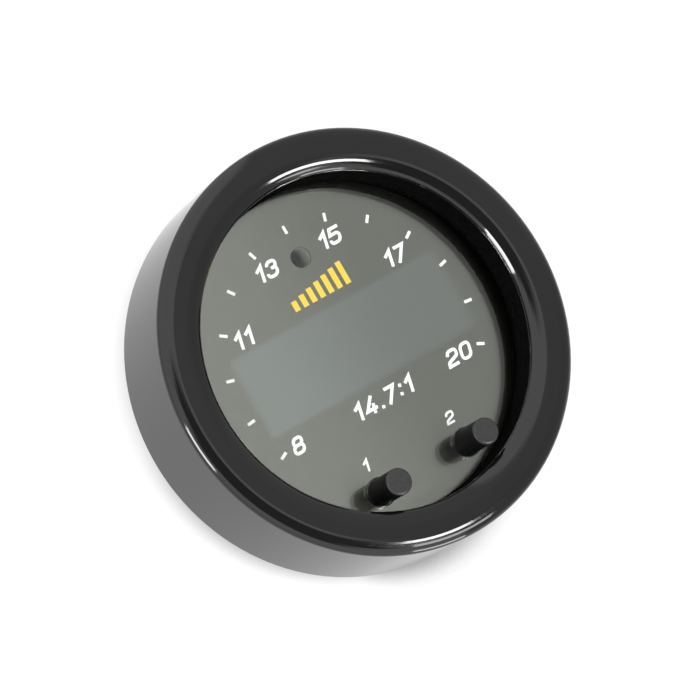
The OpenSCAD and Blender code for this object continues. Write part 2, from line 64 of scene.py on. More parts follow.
# Places on the gauge, taken from its pieces
# The lens reaches under the throat's wall by the wall and a lap
LENS_UNDER_WALL = 2.5 * MM
THROAT_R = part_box("face_lens")[1].x - LENS_UNDER_WALL
# The rolled lip ends this far down the throat
LIP_DEPTH = 1.1 * MM
LIP_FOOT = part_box("bezel")[0].y + LIP_DEPTH
BUTTON_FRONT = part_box("mode_button")[0].y
FILM_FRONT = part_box("dial_film")[0].y


def middle(node):
    """The middle of a CAD node's box."""
    low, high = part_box(node)
    return (low + high) / 2


# Strokes of ink

INK_DEPTH = 0.012 * MM
# Strokes that cross lie this far apart, in so many layers
INK_STEP = 0.0012 * MM
INK_LAYERS = 6
ARC_STEPS = 7
SHARPEST_MITRE = 0.35


def rounded(corners, closed):
    """A path through corners (x, y, r) where each corner is a circular arc of radius r.

    The arc starts r * tan(turn / 2) before the corner and turns evenly to the way out.
    """
    points = np.array([c[:2] for c in corners], float)
    radii = np.array([c[2] if len(c) > 2 else 0.0 for c in corners], float)
    count = len(points)
    path = []
    for i in range(count):
        if radii[i] <= 0 or (not closed and i in (0, count - 1)):
            path.append(points[i:i + 1])
            continue
        way_in = points[i] - points[i - 1]
        way_out = points[(i + 1) % count] - points[i]
        way_in /= np.linalg.norm(way_in)
        way_out /= np.linalg.norm(way_out)
        cross = way_in[0] * way_out[1] - way_in[1] * way_out[0]
        turn = math.atan2(cross, way_in @ way_out)
        reach = radii[i] * math.tan(abs(turn) / 2)
        side = np.array([-way_in[1], way_in[0]]) * math.copysign(1.0, turn)
        centre = points[i] - way_in * reach + side * radii[i]
        angles = np.linspace(0, turn, ARC_STEPS)[:, None]
        start = points[i] - way_in * reach - centre
        across = np.array([-start[1], start[0]])
        path.append(centre + np.cos(angles) * start + np.sin(angles) * across)
    return np.vstack(path)


def stroke(path, width, closed, front):
    """A flat bar of ink: its four corners (side = -1, +1; depth = 0, INK_DEPTH) carried along path.

    Each corner sits at path + side * width / 2 along the mitred normal of the path, so the
    width stays even through a bend.
    """
    ahead = np.roll(path, -1, 0) - path
    behind = path - np.roll(path, 1, 0)
    if not closed:
        ahead[-1], behind[0] = behind[-1], ahead[0]
    ahead /= np.linalg.norm(ahead, axis=1)[:, None]
    behind /= np.linalg.norm(behind, axis=1)[:, None]
    normal_ahead = np.stack([-ahead[:, 1], ahead[:, 0]], 1)
    normal_behind = np.stack([-behind[:, 1], behind[:, 0]], 1)
    mitre = normal_ahead + normal_behind
    mitre /= np.linalg.norm(mitre, axis=1)[:, None]
    mitre /= np.clip((mitre * normal_ahead).sum(1), SHARPEST_MITRE, 1)[:, None]
    left, right = path + mitre * width / 2, path - mitre * width / 2
    back = front + INK_DEPTH
    count = len(path)
    rings = np.empty((count, 4, 3))
    for k, (edge, y) in enumerate(((left, front), (right, front), (right, back), (left, back))):
        rings[:, k, 0], rings[:, k, 1], rings[:, k, 2] = edge[:, 0], y, edge[:, 1]
    along = np.arange(count if closed else count - 1)
    here, there = along * 4, (along + 1) % count * 4
    faces = []
    for k in range(4):
        after = (k + 1) % 4
        faces += np.stack([here + k, here + after, there + after, there + k], 1).tolist()
    if not closed:
        last = (count - 1) * 4
        faces += [[3, 2, 1, 0], [last, last + 1, last + 2, last + 3]]
    return rings.reshape(-1, 3), faces


def ink_piece(name, strokes, finish):
    """One piece of ink from strokes (path in mm, width in mm, closed), each a hair before the last."""
    verts, faces, base = [], [], 0
    for i, (path, width, closed) in enumerate(strokes):
        front = FILM_FRONT - INK_DEPTH - INK_STEP * (i % INK_LAYERS)
        points, sides = stroke(np.asarray(path) * MM, width * MM, closed, front)
        verts.append(points)
        faces += [[k + base for k in side] for side in sides]
        base += len(points)
    mesh = bpy.data.meshes.new(name)
    mesh.from_pydata(np.vstack(verts).tolist(), [], faces)
    mesh.validate()
    mesh.materials.append(finish)
    obj = bpy.data.objects.new(name, mesh)
    bpy.context.scene.collection.objects.link(obj)
    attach(obj, CASE)


# Digits, drawn for a height of 1: the strokes' sides, foot and top
LEFT, RIGHT, FOOT, TOP = 0.087, 0.69, 0.087, 0.913
# Each digit has its advance, then its strokes as (closed, corners with their radii)
DIGITS = {
    "0": (0.92, [(True, [(LEFT, FOOT, .24), (RIGHT, FOOT, .24), (RIGHT, TOP, .24), (LEFT, TOP, .24)])]),
    "1": (0.70, [(False, [(.07, .65), (.415, .915), (.43, 0)])]),
    "2": (0.92, [(False, [(LEFT, .66), (LEFT, TOP, .2), (RIGHT, TOP, .2), (RIGHT, .54, .13),
                          (LEFT - .02, .30, .14), (LEFT - .02, FOOT), (RIGHT + .03, FOOT)])]),
    "3": (0.90, [(False, [(LEFT + .02, .70), (LEFT + .02, TOP, .2), (RIGHT - .02, TOP, .21),
                          (RIGHT - .02, .53, .17), (.34, .53)]),
                 (False, [(.36, .53), (RIGHT, .53, .2), (RIGHT, FOOT, .23), (LEFT - .02, FOOT, .21),
                          (LEFT - .02, .32)])]),
    "4": (0.92, [(False, [(.50, 1.0), (LEFT - .02, .27), (RIGHT + .07, .27)]),
                 (False, [(.53, .56), (.53, 0)])]),
    "5": (0.90, [(False, [(RIGHT + .02, TOP), (LEFT + .03, TOP), (LEFT - .01, .565), (RIGHT, .60, .22),
                          (RIGHT, FOOT, .23), (LEFT - .02, FOOT, .2), (LEFT - .02, .31)])]),
    "7": (0.86, [(False, [(LEFT - .06, TOP), (RIGHT - .04, TOP), (.21, 0)])]),
    "8": (0.92, [(True, [(LEFT - .01, FOOT, .22), (RIGHT + .01, FOOT, .22), (RIGHT + .01, .52, .2),
                         (LEFT - .01, .52, .2)]),
                 (True, [(LEFT + .03, .52, .17), (RIGHT - .03, .52, .17), (RIGHT - .03, TOP, .2),
                         (LEFT + .03, TOP, .2)])]),
    ".": (0.30, [(False, [(.12, 0), (.12, .18)])]),
    ":": (0.36, [(False, [(.15, .12), (.15, .30)]), (False, [(.15, .60), (.15, .78)])]),
}
# Width of a digit's ink as a share of its advance, width of a stroke as a share of the height
INK_OF_ADVANCE = 0.78 / 0.92
STROKE_SHARE = 0.187
SLANT = math.tan(math.radians(14.6))


def number_strokes(text, centre, height, space=0.0):
    """The digits of text side by side, slanted by x += SLANT * y, centred on a point in mm.

    A digit's middle is half its height up.
    """
    span = sum(DIGITS[c][0] + space for c in text[:-1]) + DIGITS[text[-1]][0] * INK_OF_ADVANCE
    x, strokes = -span / 2, []
    for c in text:
        advance, parts = DIGITS[c]
        for closed, corners in parts:
            path = rounded(corners, closed) + [x, -0.5]
            path[:, 0] += SLANT * path[:, 1]
            strokes.append((path * height + centre, STROKE_SHARE * height, closed))
        x += advance + space
    return strokes


# Shader nodes

# Most ramps over a noise run between these levels of it, and those of roughness up to the last
NOISE_LOW, NOISE_HIGH, GLOSS_HIGH = 0.3, 0.7, 0.75
# A noise's detail and roughness: sharp for grain, soft for smudges and uneven colour
SHARP, SOFT = (3.0, 0.6), (2.0, 0.5)
UNEVEN_SCALE = 60.0
BUMP_STRENGTH = 0.5
PLASTIC_INDEX = 1.5


def node_adder(tree):
    """A function that adds a node to the tree, with its inputs (values or sockets) and settings."""
    def add(kind, inputs=None, **settings):
        node = tree.nodes.new("ShaderNode" + kind)
        for key, value in settings.items():
            setattr(node, key, value)
        for key, value in (inputs or {}).items():
            if isinstance(value, bpy.types.NodeSocket):
                tree.links.new(value, node.inputs[key])
            else:
                node.inputs[key].default_value = value
        return node
    return add


def material(name):
    """A new material with an empty node tree, and the function that adds nodes to it."""
    mat = bpy.data.materials.new(name)
    mat.use_nodes = True
    mat.node_tree.nodes.clear()
    return mat, node_adder(mat.node_tree)


def maths(add, operation, first, second=0.0, **settings):
    """The result of an operation on two numbers, or on the first alone, such as ABSOLUTE."""
    return add("Math", {0: first, 1: second}, operation=operation, **settings).outputs[0]


def smooth(add, value, start, end, low, high):
    """Goes smoothly from low, where value is at start, to high, where it is at end."""
    return add("MapRange", {"Value": value, "From Min": start, "From Max": end, "To Min": low,
                            "To Max": high}, interpolation_type="SMOOTHSTEP").outputs["Result"]


def soft_step(add, value, start, end):
    """Goes smoothly from 1 at start to 0 at end."""
    return smooth(add, value, start, end, 1.0, 0.0)


def ramp(add, factor, first, last, start=NOISE_LOW, end=NOISE_HIGH):
    """A colour ramp from first at start to last at end, each of them a grey level or a colour."""
    node = add("ValToRGB", {"Fac": factor})
    stops = node.color_ramp.elements
    for stop, place, value in ((stops[0], start, first), (stops[1], end, last)):
        stop.position = place
        stop.color = (value,) * 3 + (1,) if isinstance(value, float) else tuple(value) + (1,)
    return node.outputs["Color"]


def where(add):
    """A point in Object coordinates."""
    return add("TexCoord").outputs["Object"]


def split(add, vector):
    """The X, Y and Z of a vector."""
    parts = add("SeparateXYZ", {"Vector": vector}).outputs
    return parts["X"], parts["Y"], parts["Z"]


def dial_distance(add, centre_x, centre_z):
    """How far a point lies from one on the dial, seen along the gauge's axis."""
    x, _, z = split(add, where(add))
    flat = add("CombineXYZ", {"X": x, "Z": z})
    return add("VectorMath", {0: flat.outputs["Vector"], 1: (centre_x, 0.0, centre_z)},
               operation="DISTANCE").outputs["Value"]


def noise(add, scale, character=SHARP):
    """The level of a noise in Object space, with its character as (detail, roughness)."""
    detail, rough = character
    return add("TexNoise", {"Vector": where(add), "Scale": scale, "Detail": detail,
                            "Roughness": rough}).outputs["Fac"]


def bumps(add, height, depth, strength=BUMP_STRENGTH):
    """The normal of a surface that the height roughens by a depth in millimetres."""
    return add("Bump", {"Height": height, "Strength": strength, "Distance": depth * MM}).outputs["Normal"]


def gloss(add, fine, rough, spread):
    """Roughness that follows the grain, from spread[0] to spread[1] times its usual value."""
    return ramp(add, fine, rough * spread[0], rough * spread[1], end=GLOSS_HIGH)


def principled(add, **inputs):
    """A Principled shader. Its inputs go by the short names tint, rough, index, normal, metallic."""
    names = {"tint": "Base Color", "rough": "Roughness", "index": "IOR", "normal": "Normal",
             "metallic": "Metallic"}
    return add("BsdfPrincipled", {names[key]: value for key, value in inputs.items()}).outputs["BSDF"]


def mixed(add, factor, first, second):
    """The first shader where the factor is 0, the second where it is 1."""
    return add("MixShader", {0: factor, 1: first, 2: second}).outputs["Shader"]


def mixed_tint(add, factor, first, second):
    """The first colour where the factor is 0, the second where it is 1."""
    return add("Mix", {"Factor": factor, 6: first, 7: second}, data_type="RGBA").outputs[2]


def mixed_level(add, factor, first, second):
    """The first number where the factor is 0, the second where it is 1."""
    return add("Mix", {"Factor": factor, 2: first, 3: second}, data_type="FLOAT").outputs[0]


# Materials

# In each, GRAIN is the scale of its noise, BUMP the grain's depth in mm, and SPREAD the least
# and the most of its roughness as shares of the usual value
MOULDED_SPREAD = (0.8, 1.25)


def moulded(name, colour, rough, grain, depth, uneven):
    """Moulded plastic: a slight unevenness of colour, a fine grain, and roughness that follows it."""
    mat, add = material(name)
    fine = noise(add, grain)
    dark = [c * (1 - uneven / 2) for c in colour]
    light = [c * (1 + uneven / 2) for c in colour]
    add("OutputMaterial", {"Surface": principled(
        add, tint=ramp(add, noise(add, UNEVEN_SCALE, SOFT), dark, light),
        rough=gloss(add, fine, rough, MOULDED_SPREAD), index=PLASTIC_INDEX,
        normal=bumps(add, fine, depth))})
    return mat


METAL_GRAIN, METAL_CHARACTER, METAL_BUMP, METAL_STRENGTH = 900.0, (4.0, 0.6), 0.004, 0.4
METAL_SHADE, METAL_SPREAD = 0.85, (0.7, 1.3)


def metal(name, colour, rough):
    """Machined or plated metal with fine turning marks."""
    mat, add = material(name)
    fine = noise(add, METAL_GRAIN, METAL_CHARACTER)
    dark = [c * METAL_SHADE for c in colour]
    add("OutputMaterial", {"Surface": principled(
        add, tint=ramp(add, fine, dark, colour), metallic=1.0,
        rough=ramp(add, fine, *(rough * share for share in METAL_SPREAD)),
        normal=bumps(add, fine, METAL_BUMP, METAL_STRENGTH))})
    return mat


INK_GRAIN, INK_SHADE, INK_ROUGH, INK_INDEX = 4000.0, 0.96, 0.5, 1.45


def ink(name, colour):
    """Screen-printed ink: nearly even colour with a faint grain."""
    mat, add = material(name)
    fine = noise(add, INK_GRAIN, SOFT)
    faint = [c * INK_SHADE for c in colour]
    add("OutputMaterial", {"Surface": principled(
        add, tint=ramp(add, fine, faint, colour), rough=INK_ROUGH, index=INK_INDEX)})
    return mat


BEZEL_GRAIN, BEZEL_BUMP = 1400.0, 0.0005
BEZEL_ROUGH, BEZEL_SPREAD = 0.06, (0.8, 1.2)
BEZEL_DARK, BEZEL_LIGHT = 0.0034, 0.0046
# Painted shade: the throat's wall is a darker black than the bezel outside, as it lies in shade
SHADED_WALL_DARK, SHADED_WALL_LIGHT = 0.0015, 0.004
# The wall's matt look and its painted shade fade out between these two distances outside the throat's
# radius, and over the third at the lip's foot
WALL_IN, WALL_OUT, LIP_FADE = 0.05 * MM, 0.3 * MM, 0.2 * MM


def bezel_black():
    """Gloss black plastic that turns matt and darker on the throat's wall, below the rolled lip; the
    darker black there is painted shade.
    """
    mat, add = material("bezel_gloss_black")
    fine = noise(add, BEZEL_GRAIN)
    inside = soft_step(add, dial_distance(add, 0.0, 0.0), THROAT_R + WALL_IN, THROAT_R + WALL_OUT)
    _, depth, _ = split(add, where(add))
    below = soft_step(add, depth, LIP_FOOT + LIP_FADE, LIP_FOOT)
    outer = principled(add, tint=ramp(add, noise(add, UNEVEN_SCALE, SOFT), BEZEL_DARK, BEZEL_LIGHT),
                       rough=gloss(add, fine, BEZEL_ROUGH, BEZEL_SPREAD), index=PLASTIC_INDEX,
                       normal=bumps(add, fine, BEZEL_BUMP))
    # Painted shade: the wall's darker black
    matt = ramp(add, fine, SHADED_WALL_DARK, SHADED_WALL_LIGHT, end=GLOSS_HIGH)
    inner = add("BsdfDiffuse", {"Color": matt, "Roughness": 1.0}).outputs["BSDF"]
    wall = maths(add, "MULTIPLY", inside, below)
    add("OutputMaterial", {"Surface": mixed(add, wall, outer, inner)})
    return mat


BUTTON_GRAIN, BUTTON_BUMP, BUTTON_SPREAD = 2500.0, 0.001, (1.0, 1.3)
# The stem's and the tip's look: dark and light grey, index, roughness; the stem's darker grey and lower
# index are painted shade, as the stem stands in its bore
SHADED_STEM_LOOK = (0.002, 0.004, 1.17, 0.45)
TIP_LOOK = (0.028, 0.036, 1.3, 0.16)
# The tip's look fades out between these depths behind its front
TIP_START, TIP_END = 0.15 * MM, 0.45 * MM


def button_black():
    """Satin black plastic, a little paler on the pressed tip than down the stem, whose darker, less
    mirroring look is painted shade.
    """
    mat, add = material("button_black")
    fine = noise(add, BUTTON_GRAIN)
    _, depth, _ = split(add, where(add))
    # Painted shade: behind the tip the darker stem look takes over
    tip = soft_step(add, depth, BUTTON_FRONT + TIP_START, BUTTON_FRONT + TIP_END)
    normal = bumps(add, fine, BUTTON_BUMP)
    shades = [principled(add, tint=ramp(add, fine, dark, light), index=index, normal=normal,
                         rough=gloss(add, fine, rough, BUTTON_SPREAD))
              for dark, light, index, rough in (SHADED_STEM_LOOK, TIP_LOOK)]
    add("OutputMaterial", {"Surface": mixed(add, tip, *shades)})
    return mat


BAFFLE_GRAIN, BAFFLE_BUMP, BAFFLE_ROUGH = 1500.0, 0.004, 0.55
BAFFLE_DARK, BAFFLE_LIGHT = (0.69, 0.69, 0.66), (0.75, 0.75, 0.72)
# Painted shade: the greys that stand for the shade inside the sensor's bore and the two guide bores
GUIDE_BORE_SHADE, SENSOR_BORE_SHADE = (0.05, 0.052, 0.048, 1), (0.27, 0.285, 0.255, 1)
# How far out each bore is masked, the width of the mask's soft edge, and that of the change
# from one grey to the other across the dial's middle
SENSOR_MASK, BUTTON_MASK, MASK_EDGE, GREY_CHANGE = 2.3 * MM, 3.1 * MM, 0.1 * MM, 2 * MM
MASKS = {"light_sensor": SENSOR_MASK, "mode_button": BUTTON_MASK, "select_button": BUTTON_MASK}


def baffle_white():
    """White moulding with painted shade: grey round the sensor's bore and dark round the two guide bores,
    where the bores lie in shade.
    """
    mat, add = material("baffle_white")
    fine = noise(add, BAFFLE_GRAIN)
    masked = 0.0
    for node, reach in MASKS.items():
        bore = middle(node)
        away = dial_distance(add, bore.x, bore.z)
        # Painted shade round each bore
        masked = maths(add, "MAXIMUM", soft_step(add, away, reach, reach + MASK_EDGE), masked)
    _, _, height = split(add, where(add))
    above = soft_step(add, height, GREY_CHANGE / 2, -GREY_CHANGE / 2)
    grey = mixed_tint(add, above, GUIDE_BORE_SHADE, SENSOR_BORE_SHADE)
    tint = mixed_tint(add, masked, ramp(add, fine, BAFFLE_DARK, BAFFLE_LIGHT), grey)
    add("OutputMaterial", {"Surface": principled(
        add, tint=tint, rough=BAFFLE_ROUGH, index=PLASTIC_INDEX,
        normal=bumps(add, fine, BAFFLE_BUMP))})
    return mat


LENS_TINT = (0.985, 0.99, 0.985, 1)
# The smudges' scale, the level where they start, and the lens's roughness clean and smudged
SMUDGE_SCALE, SMUDGE_START = 90.0, 0.35
LENS_CLEAN, LENS_SMUDGED = 0.015, 0.03


def lens_clear():
    """Thin clear plastic: it lets light straight through and mirrors by Fresnel on both faces.

    Light isn't bent, so the index is turned over on the inner side and both sides mirror alike.
    """
    mat, add = material("clear_lens")
    smudge = ramp(add, noise(add, SMUDGE_SCALE, SOFT), LENS_CLEAN, LENS_SMUDGED,
                  start=SMUDGE_START, end=GLOSS_HIGH)
    clear = add("BsdfTransparent", {"Color": LENS_TINT})
    mirror = add("BsdfAnisotropic", {"Color": (1, 1, 1, 1), "Roughness": smudge})
    inner_side = add("NewGeometry").outputs["Backfacing"]
    index = add("MapRange", {"Value": inner_side, "To Min": PLASTIC_INDEX, "To Max": 1 / PLASTIC_INDEX})
    edge = add("Fresnel", {"IOR": index.outputs["Result"]})
    add("OutputMaterial", {"Surface": mixed(
        add, edge.outputs["Fac"], clear.outputs["BSDF"], mirror.outputs["BSDF"])})
    return mat


PRINT_DARK, PRINT_LIGHT = (0.186, 0.192, 0.168), (0.206, 0.212, 0.188)
SMOKE_DARK, SMOKE_LIGHT = (0.225, 0.243, 0.229), (0.245, 0.263, 0.249)
FILM_GRAIN, FILM_ROUGH, FILM_SPREAD = 2500.0, 0.19, (0.93, 1.07)
# Painted light: the film's tint is scaled paler towards the left, where it mirrors brighter light;
# between these places the scale goes from one factor to the other
PAINTED_LIGHT_START, PAINTED_LIGHT_END = -13 * MM, 9 * MM
PAINTED_LIGHT_LEFT, PAINTED_LIGHT_RIGHT = 1.27, 0.95
# The window is the diffuser behind it, less margins, a little further to the right
WINDOW_SHIFT, WINDOW_SOFT = 0.4 * MM, 0.9 * MM
SIDE_MARGIN, TOP_MARGIN = 0.2 * MM, MM


def film_print():
    """Satin half-mirror print, paler over the display window; towards the left of the dial its tint is
    scaled paler still, which is painted light.
    """
    mat, add = material("dial_print")
    x, _, z = split(add, where(add))
    window = middle("window_diffuser")
    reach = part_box("window_diffuser")[1] - window
    across = maths(add, "ABSOLUTE", maths(add, "SUBTRACT", x, window.x + WINDOW_SHIFT))
    up = maths(add, "ABSOLUTE", maths(add, "SUBTRACT", z, window.z))
    half_width, half_height = reach.x - SIDE_MARGIN, reach.z - TOP_MARGIN
    inside = maths(add, "MULTIPLY",
                   soft_step(add, across, half_width - WINDOW_SOFT, half_width + WINDOW_SOFT),
                   soft_step(add, up, half_height - WINDOW_SOFT / 2, half_height + WINDOW_SOFT / 2))
    fine = noise(add, FILM_GRAIN)
    tint = mixed_tint(add, inside, ramp(add, fine, PRINT_DARK, PRINT_LIGHT),
                      ramp(add, fine, SMOKE_DARK, SMOKE_LIGHT))
    # Painted light: the tint grows paler towards the left
    pale = smooth(add, x, PAINTED_LIGHT_START, PAINTED_LIGHT_END, PAINTED_LIGHT_LEFT, PAINTED_LIGHT_RIGHT)
    tint = add("VectorMath", {0: tint, "Scale": pale}, operation="SCALE").outputs["Vector"]
    add("OutputMaterial", {"Surface": principled(
        add, tint=tint, metallic=1.0, rough=gloss(add, fine, FILM_ROUGH, FILM_SPREAD))})
    return mat


MASK_GREEN, COPPER_GREEN = (0.006, 0.10, 0.035), (0.012, 0.17, 0.06)
BOARD_ROUGH = 0.35
COPPER_WAVE = {"Scale": 160.0, "Distortion": 9.0, "Detail": 1.0, "Detail Scale": 0.4}
# The wave's levels between which the mask's green turns to that over copper
COPPER_START, COPPER_END = 0.42, 0.5


def board_green():
    """Green solder mask with paler copper runs: a warped wave of fine lines over the mask."""
    mat, add = material("board_mask")
    runs = add("TexWave", {"Vector": where(add), **COPPER_WAVE}).outputs["Fac"]
    lines = ramp(add, runs, MASK_GREEN, COPPER_GREEN, start=COPPER_START, end=COPPER_END)
    add("OutputMaterial", {"Surface": principled(
        add, tint=lines, rough=BOARD_ROUGH, index=PLASTIC_INDEX)})
    return mat


# Plain mouldings: colour, roughness, scale and depth in mm of the grain, unevenness of the
# colour, and the pieces made of it
MOULDINGS = {
    "case_black": ((0.016, 0.016, 0.016), 0.42, 2200.0, 0.004, 0.25,
                   ("housing", "mode_switch", "select_switch")),
    "cover_black": ((0.028, 0.028, 0.0285), 0.50, 1800.0, 0.006, 0.25, ("rear_cover",)),
    "seal_rubber": ((0.01, 0.01, 0.01), 0.70, 1500.0, 0.006, 0.25, ("lens_gasket",)),
    "diffuser_smoke": ((0.13, 0.15, 0.13), 0.50, 2500.0, 0.002, 0.25, ("window_diffuser",)),
    "display_black": ((0.02, 0.02, 0.02), 0.50, 2500.0, 0.003, 0.25, ("led_display",)),
    "segment_grey": ((0.50, 0.51, 0.46), 0.45, 3000.0, 0.002, 0.10, ("display_segments",)),
    "emitter_white": ((0.80, 0.78, 0.66), 0.30, 3000.0, 0.002, 0.10, ("scale_leds",)),
    "sensor_resin": ((0.03, 0.033, 0.03), 0.25, 3000.0, 0.002, 0.15, ("light_sensor",)),
    "chip_black": ((0.014, 0.014, 0.015), 0.55, 4000.0, 0.004, 0.25,
                   ("microcontroller", "led_driver", "voltage_regulator")),
    "ferrite_grey": ((0.04, 0.04, 0.043), 0.60, 4000.0, 0.008, 0.25, ("inductor",)),
    "socket_black": ((0.012, 0.012, 0.013), 0.38, 3000.0, 0.004, 0.25,
                     ("power_connector", "sensor_connector")),
    "plunger_tan": ((0.50, 0.44, 0.33), 0.45, 3000.0, 0.003, 0.10, ("mode_plunger", "select_plunger")),
}
# Metals: colour, roughness, and the pieces made of it
METALS = {
    "can_aluminium": ((0.62, 0.63, 0.65), 0.30, ("capacitors", "crystal")),
    "pin_gold": ((0.82, 0.60, 0.24), 0.22, ("power_pins", "sensor_pins")),
    "insert_brass": ((0.66, 0.48, 0.20), 0.28, ("bracket_inserts",)),
    "screw_steel": ((0.36, 0.37, 0.39), 0.32, ("board_screws", "cover_screws")),
}


def dress(finish, *nodes):
    """Gives that one material to these CAD nodes."""
    for node in nodes:
        mesh = NODES[node].data
        mesh.materials.clear()
        mesh.materials.append(finish)


for name, (*look, nodes) in MOULDINGS.items():
    dress(moulded(name, *look), *nodes)
for name, (*look, nodes) in METALS.items():
    dress(metal(name, *look), *nodes)
dress(bezel_black(), "bezel")
dress(button_black(), "mode_button", "select_button")
dress(baffle_white(), "light_baffle")
dress(lens_clear(), "face_lens")
dress(film_print(), "dial_film")
dress(board_green(), "main_board")

# The dial's print, in millimetres on the face: X to the right, Z up the dial

TICK_RADIUS, TICK_LENGTH, TICK_WIDTH = 18.87, 1.2, 0.43
TICK_COUNT = 13
SCALE_SWEEP = 230.0
NUMBER_HEIGHT, BUTTON_NUMBER_HEIGHT = 2.45, 1.75
SCALE_NUMBERS = {"15": (5.28, 15.01), "13": (-5.49, 15.06), "17": (12.51, 8.47),
                 "11": (-13.48, 8.45), "20": (13.42, -7.74), "8": (-14.45, -7.72)}
CENTRE_NUMBER, CENTRE_PLACE, CENTRE_SPACE = "14.7:1", (0.1, -7.9), 0.08
BUTTON_NUMBERS = {"1": (-7.3, -14.7), "2": (7.3, -14.7)}
# The level mark: bars that stand on one line, each longer than the one before
BAR_COUNT, BAR_PITCH, BAR_WIDTH = 7, 1.45, 0.85
BAR_FOOT, SHORTEST_BAR, BAR_GROWTH = 8.2, 1.5, 0.32


def tick(angle):
    """A short stroke along the radius at that angle."""
    way = np.array([math.cos(angle), math.sin(angle)])
    ends = TICK_RADIUS - TICK_LENGTH / 2, TICK_RADIUS + TICK_LENGTH / 2
    return np.stack([way * end for end in ends]), TICK_WIDTH, False


def bar(i):
    """One upright bar of the level mark."""
    x = (i - (BAR_COUNT - 1) / 2) * BAR_PITCH
    top = BAR_FOOT + SHORTEST_BAR + BAR_GROWTH * i
    return np.array([[x, BAR_FOOT], [x, top]]), BAR_WIDTH, False


def numbers(places, height):
    """The strokes of several numbers, each centred on its place, at one height."""
    return [part for text, centre in places.items() for part in number_strokes(text, centre, height)]


white_ink = ink("white_ink", (0.96, 0.96, 0.96))
amber_ink = ink("amber_ink", (0.78, 0.56, 0.03))
tick_angles = np.radians(90 + np.linspace(SCALE_SWEEP / 2, -SCALE_SWEEP / 2, TICK_COUNT))
ink_piece("scale_ticks", [tick(angle) for angle in tick_angles], white_ink)
ink_piece("scale_numbers", numbers(SCALE_NUMBERS, NUMBER_HEIGHT), white_ink)
ink_piece("centre_number", number_strokes(CENTRE_NUMBER, CENTRE_PLACE, NUMBER_HEIGHT, CENTRE_SPACE),
          white_ink)
ink_piece("button_numbers", numbers(BUTTON_NUMBERS, BUTTON_NUMBER_HEIGHT), white_ink)
ink_piece("level_mark", [bar(i) for i in range(BAR_COUNT)], amber_ink)

# Table

TABLE_Y = CAD_HIGH.y + 0.1 * MM
TABLE_REACH = 2.0
# The table's own shade, and the white that it adds
TABLE_MATT, TABLE_LIFT = 0.08, 0.945
# How far off the gauge darkens that white, how many times as far on the wide side, and from
# how many samples
SHADE_REACH, WIDE_SHADE, SHADE_SAMPLES = 4.7 * MM, 1.6, 8
# The shadow is this many times as deep on the deep side
DEEP_SHADE = 2.6
DEEP_SIDE, WIDE_SIDE = (-0.46, 0.0, -0.89), (0.68, 0.0, -0.73)
# How nearly a point lies that way from the gauge where the shadow starts and stops to grow
DEEP_START, DEEP_END = 0.25, 0.95
WIDE_START, WIDE_END = 0.35, 0.9
# Right behind the gauge the table is open out to this radius, so that metal there mirrors light
TABLE_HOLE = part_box("rear_cover")[1].x + 1.3 * MM


def table_white():
    """White that the camera, mirrors and glass see from the front. Other light passes through it.

    It darkens near the gauge, deepest towards the deep side and widest towards the wide side.
    """
    mat, add = material("table_white")
    point = where(add)
    path = add("LightPath").outputs
    seen = maths(add, "ADD", path["Is Camera Ray"], path["Is Glossy Ray"])
    seen = maths(add, "ADD", seen, path["Is Transmission Ray"], use_clamp=True)
    front = maths(add, "SUBTRACT", 1.0, add("NewGeometry").outputs["Backfacing"])
    out = add("VectorMath", {0: point}, operation="LENGTH").outputs["Value"]
    closed = maths(add, "GREATER_THAN", out, TABLE_HOLE)
    show = maths(add, "MULTIPLY", maths(add, "MULTIPLY", seen, front), closed)
    way = add("VectorMath", {0: point}, operation="NORMALIZE").outputs["Vector"]
    deep, wide = (add("VectorMath", {0: way, 1: side}, operation="DOT_PRODUCT").outputs["Value"]
                  for side in (DEEP_SIDE, WIDE_SIDE))
    depth = smooth(add, deep, DEEP_START, DEEP_END, 1.0, DEEP_SHADE)
    reach = smooth(add, wide, WIDE_START, WIDE_END, SHADE_REACH, SHADE_REACH * WIDE_SHADE)
    near = add("AmbientOcclusion", {"Distance": reach}, samples=SHADE_SAMPLES).outputs["AO"]
    glow = maths(add, "MULTIPLY", maths(add, "POWER", near, depth), TABLE_LIFT)
    matt = add("BsdfDiffuse", {"Color": (TABLE_MATT,) * 3 + (1,)})
    lift = add("Emission", {"Color": (1, 1, 1, 1), "Strength": glow})
    both = add("AddShader", {0: matt.outputs["BSDF"], 1: lift.outputs["Emission"]})
    clear = add("BsdfTransparent")
    add("OutputMaterial", {"Surface": mixed(
        add, show, clear.outputs["BSDF"], both.outputs["Shader"])})
    return mat


def table():
    """A wide flat sheet behind the gauge's rear face: the grid of points (x, TABLE_Y, z)."""
    sides = np.array([-1.0, 1.0]) * TABLE_REACH
    x, z = np.meshgrid(sides, sides, indexing="ij")
    verts = np.stack([x, np.full_like(x, TABLE_Y), z], -1).reshape(-1, 3)
    mesh = bpy.data.meshes.new("table")
    mesh.from_pydata(verts.tolist(), [], [[0, 2, 3, 1]])
    mesh.materials.append(table_white())
    obj = bpy.data.objects.new("table", mesh)
    bpy.context.scene.collection.objects.link(obj)


table()

# Light

# The soft light's levels: ahead on the right, on the pale card ahead on the left, and behind
FRONT_LIGHT, CARD_LIGHT, BACK_LIGHT = 0.67, 1.45, 1.05
# Ahead it changes with Z, within this span to each side, by this share of its level
FRONT_SPAN, FRONT_RISE = 0.12, 0.12
# The card reaches from the left to this value of X, and its edge fades by this much on each side
CARD_EDGE, CARD_SOFT = 0.355, 0.035
# Behind it rises with Z and falls with X
BACK_RISE, BACK_FALL = 0.5, 0.8
# What lies ahead gives way to what lies behind between these values of Y
AHEAD_END, BEHIND_START = -0.15, 0.25
